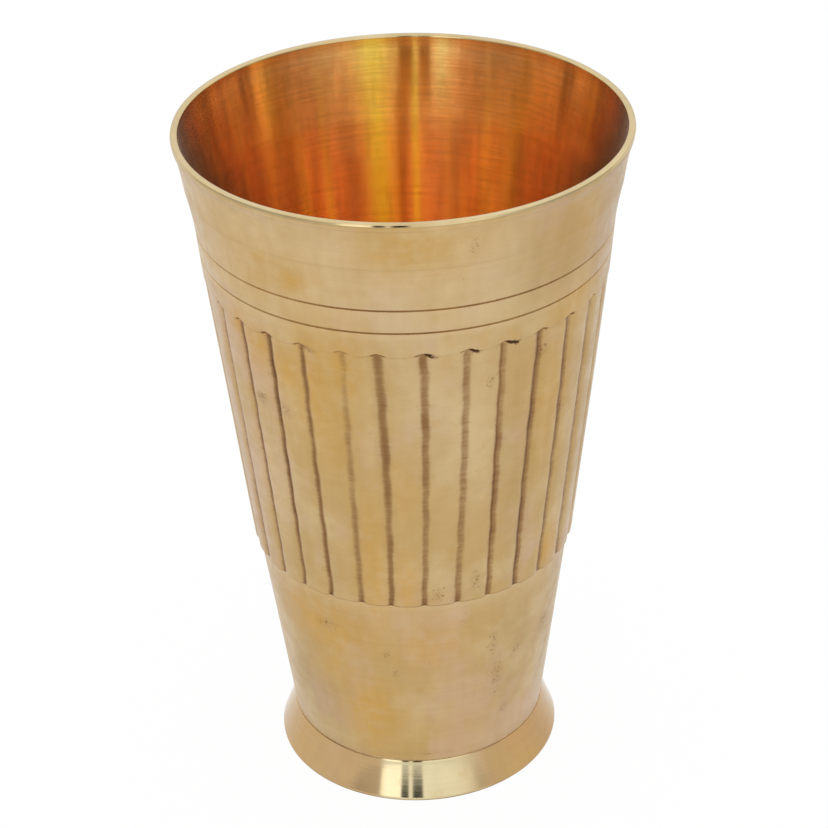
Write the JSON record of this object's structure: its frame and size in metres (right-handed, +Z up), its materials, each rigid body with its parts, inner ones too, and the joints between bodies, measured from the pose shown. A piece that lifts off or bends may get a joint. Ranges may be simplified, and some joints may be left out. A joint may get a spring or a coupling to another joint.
{
  "type": "tumbler",
  "caption": "Heavy turned brass drinking tumbler: a tapered cup with a fluted band, fine turned grooves and a flared lip, standing on a low flared foot ring.",
  "frame": {"origin": "middle of the foot ring's underside, on the surface that the tumbler stands on", "axes": "+Z up along the tumbler's turning axis, -Y towards the front of the picture, +X to its right"},
  "size_m": [0.0834, 0.0834, 0.133],
  "materials": {
    "wall_brass": "satin cast brass, lightly mottled, with dark toned valleys",
    "inner_brass": "turned brass with fine rings, warm and glossy",
    "foot_brass": "bright turned brass",
    "brazing_metal": "dull brazing metal"
  },
  "bodies": {
    "root": {"body_wall": "wall_brass", "floor_disc": "inner_brass", "foot_ring": "foot_brass", "foot_braze": "brazing_metal", "floor_braze": "brazing_metal"}
  },
  "joints": []
}
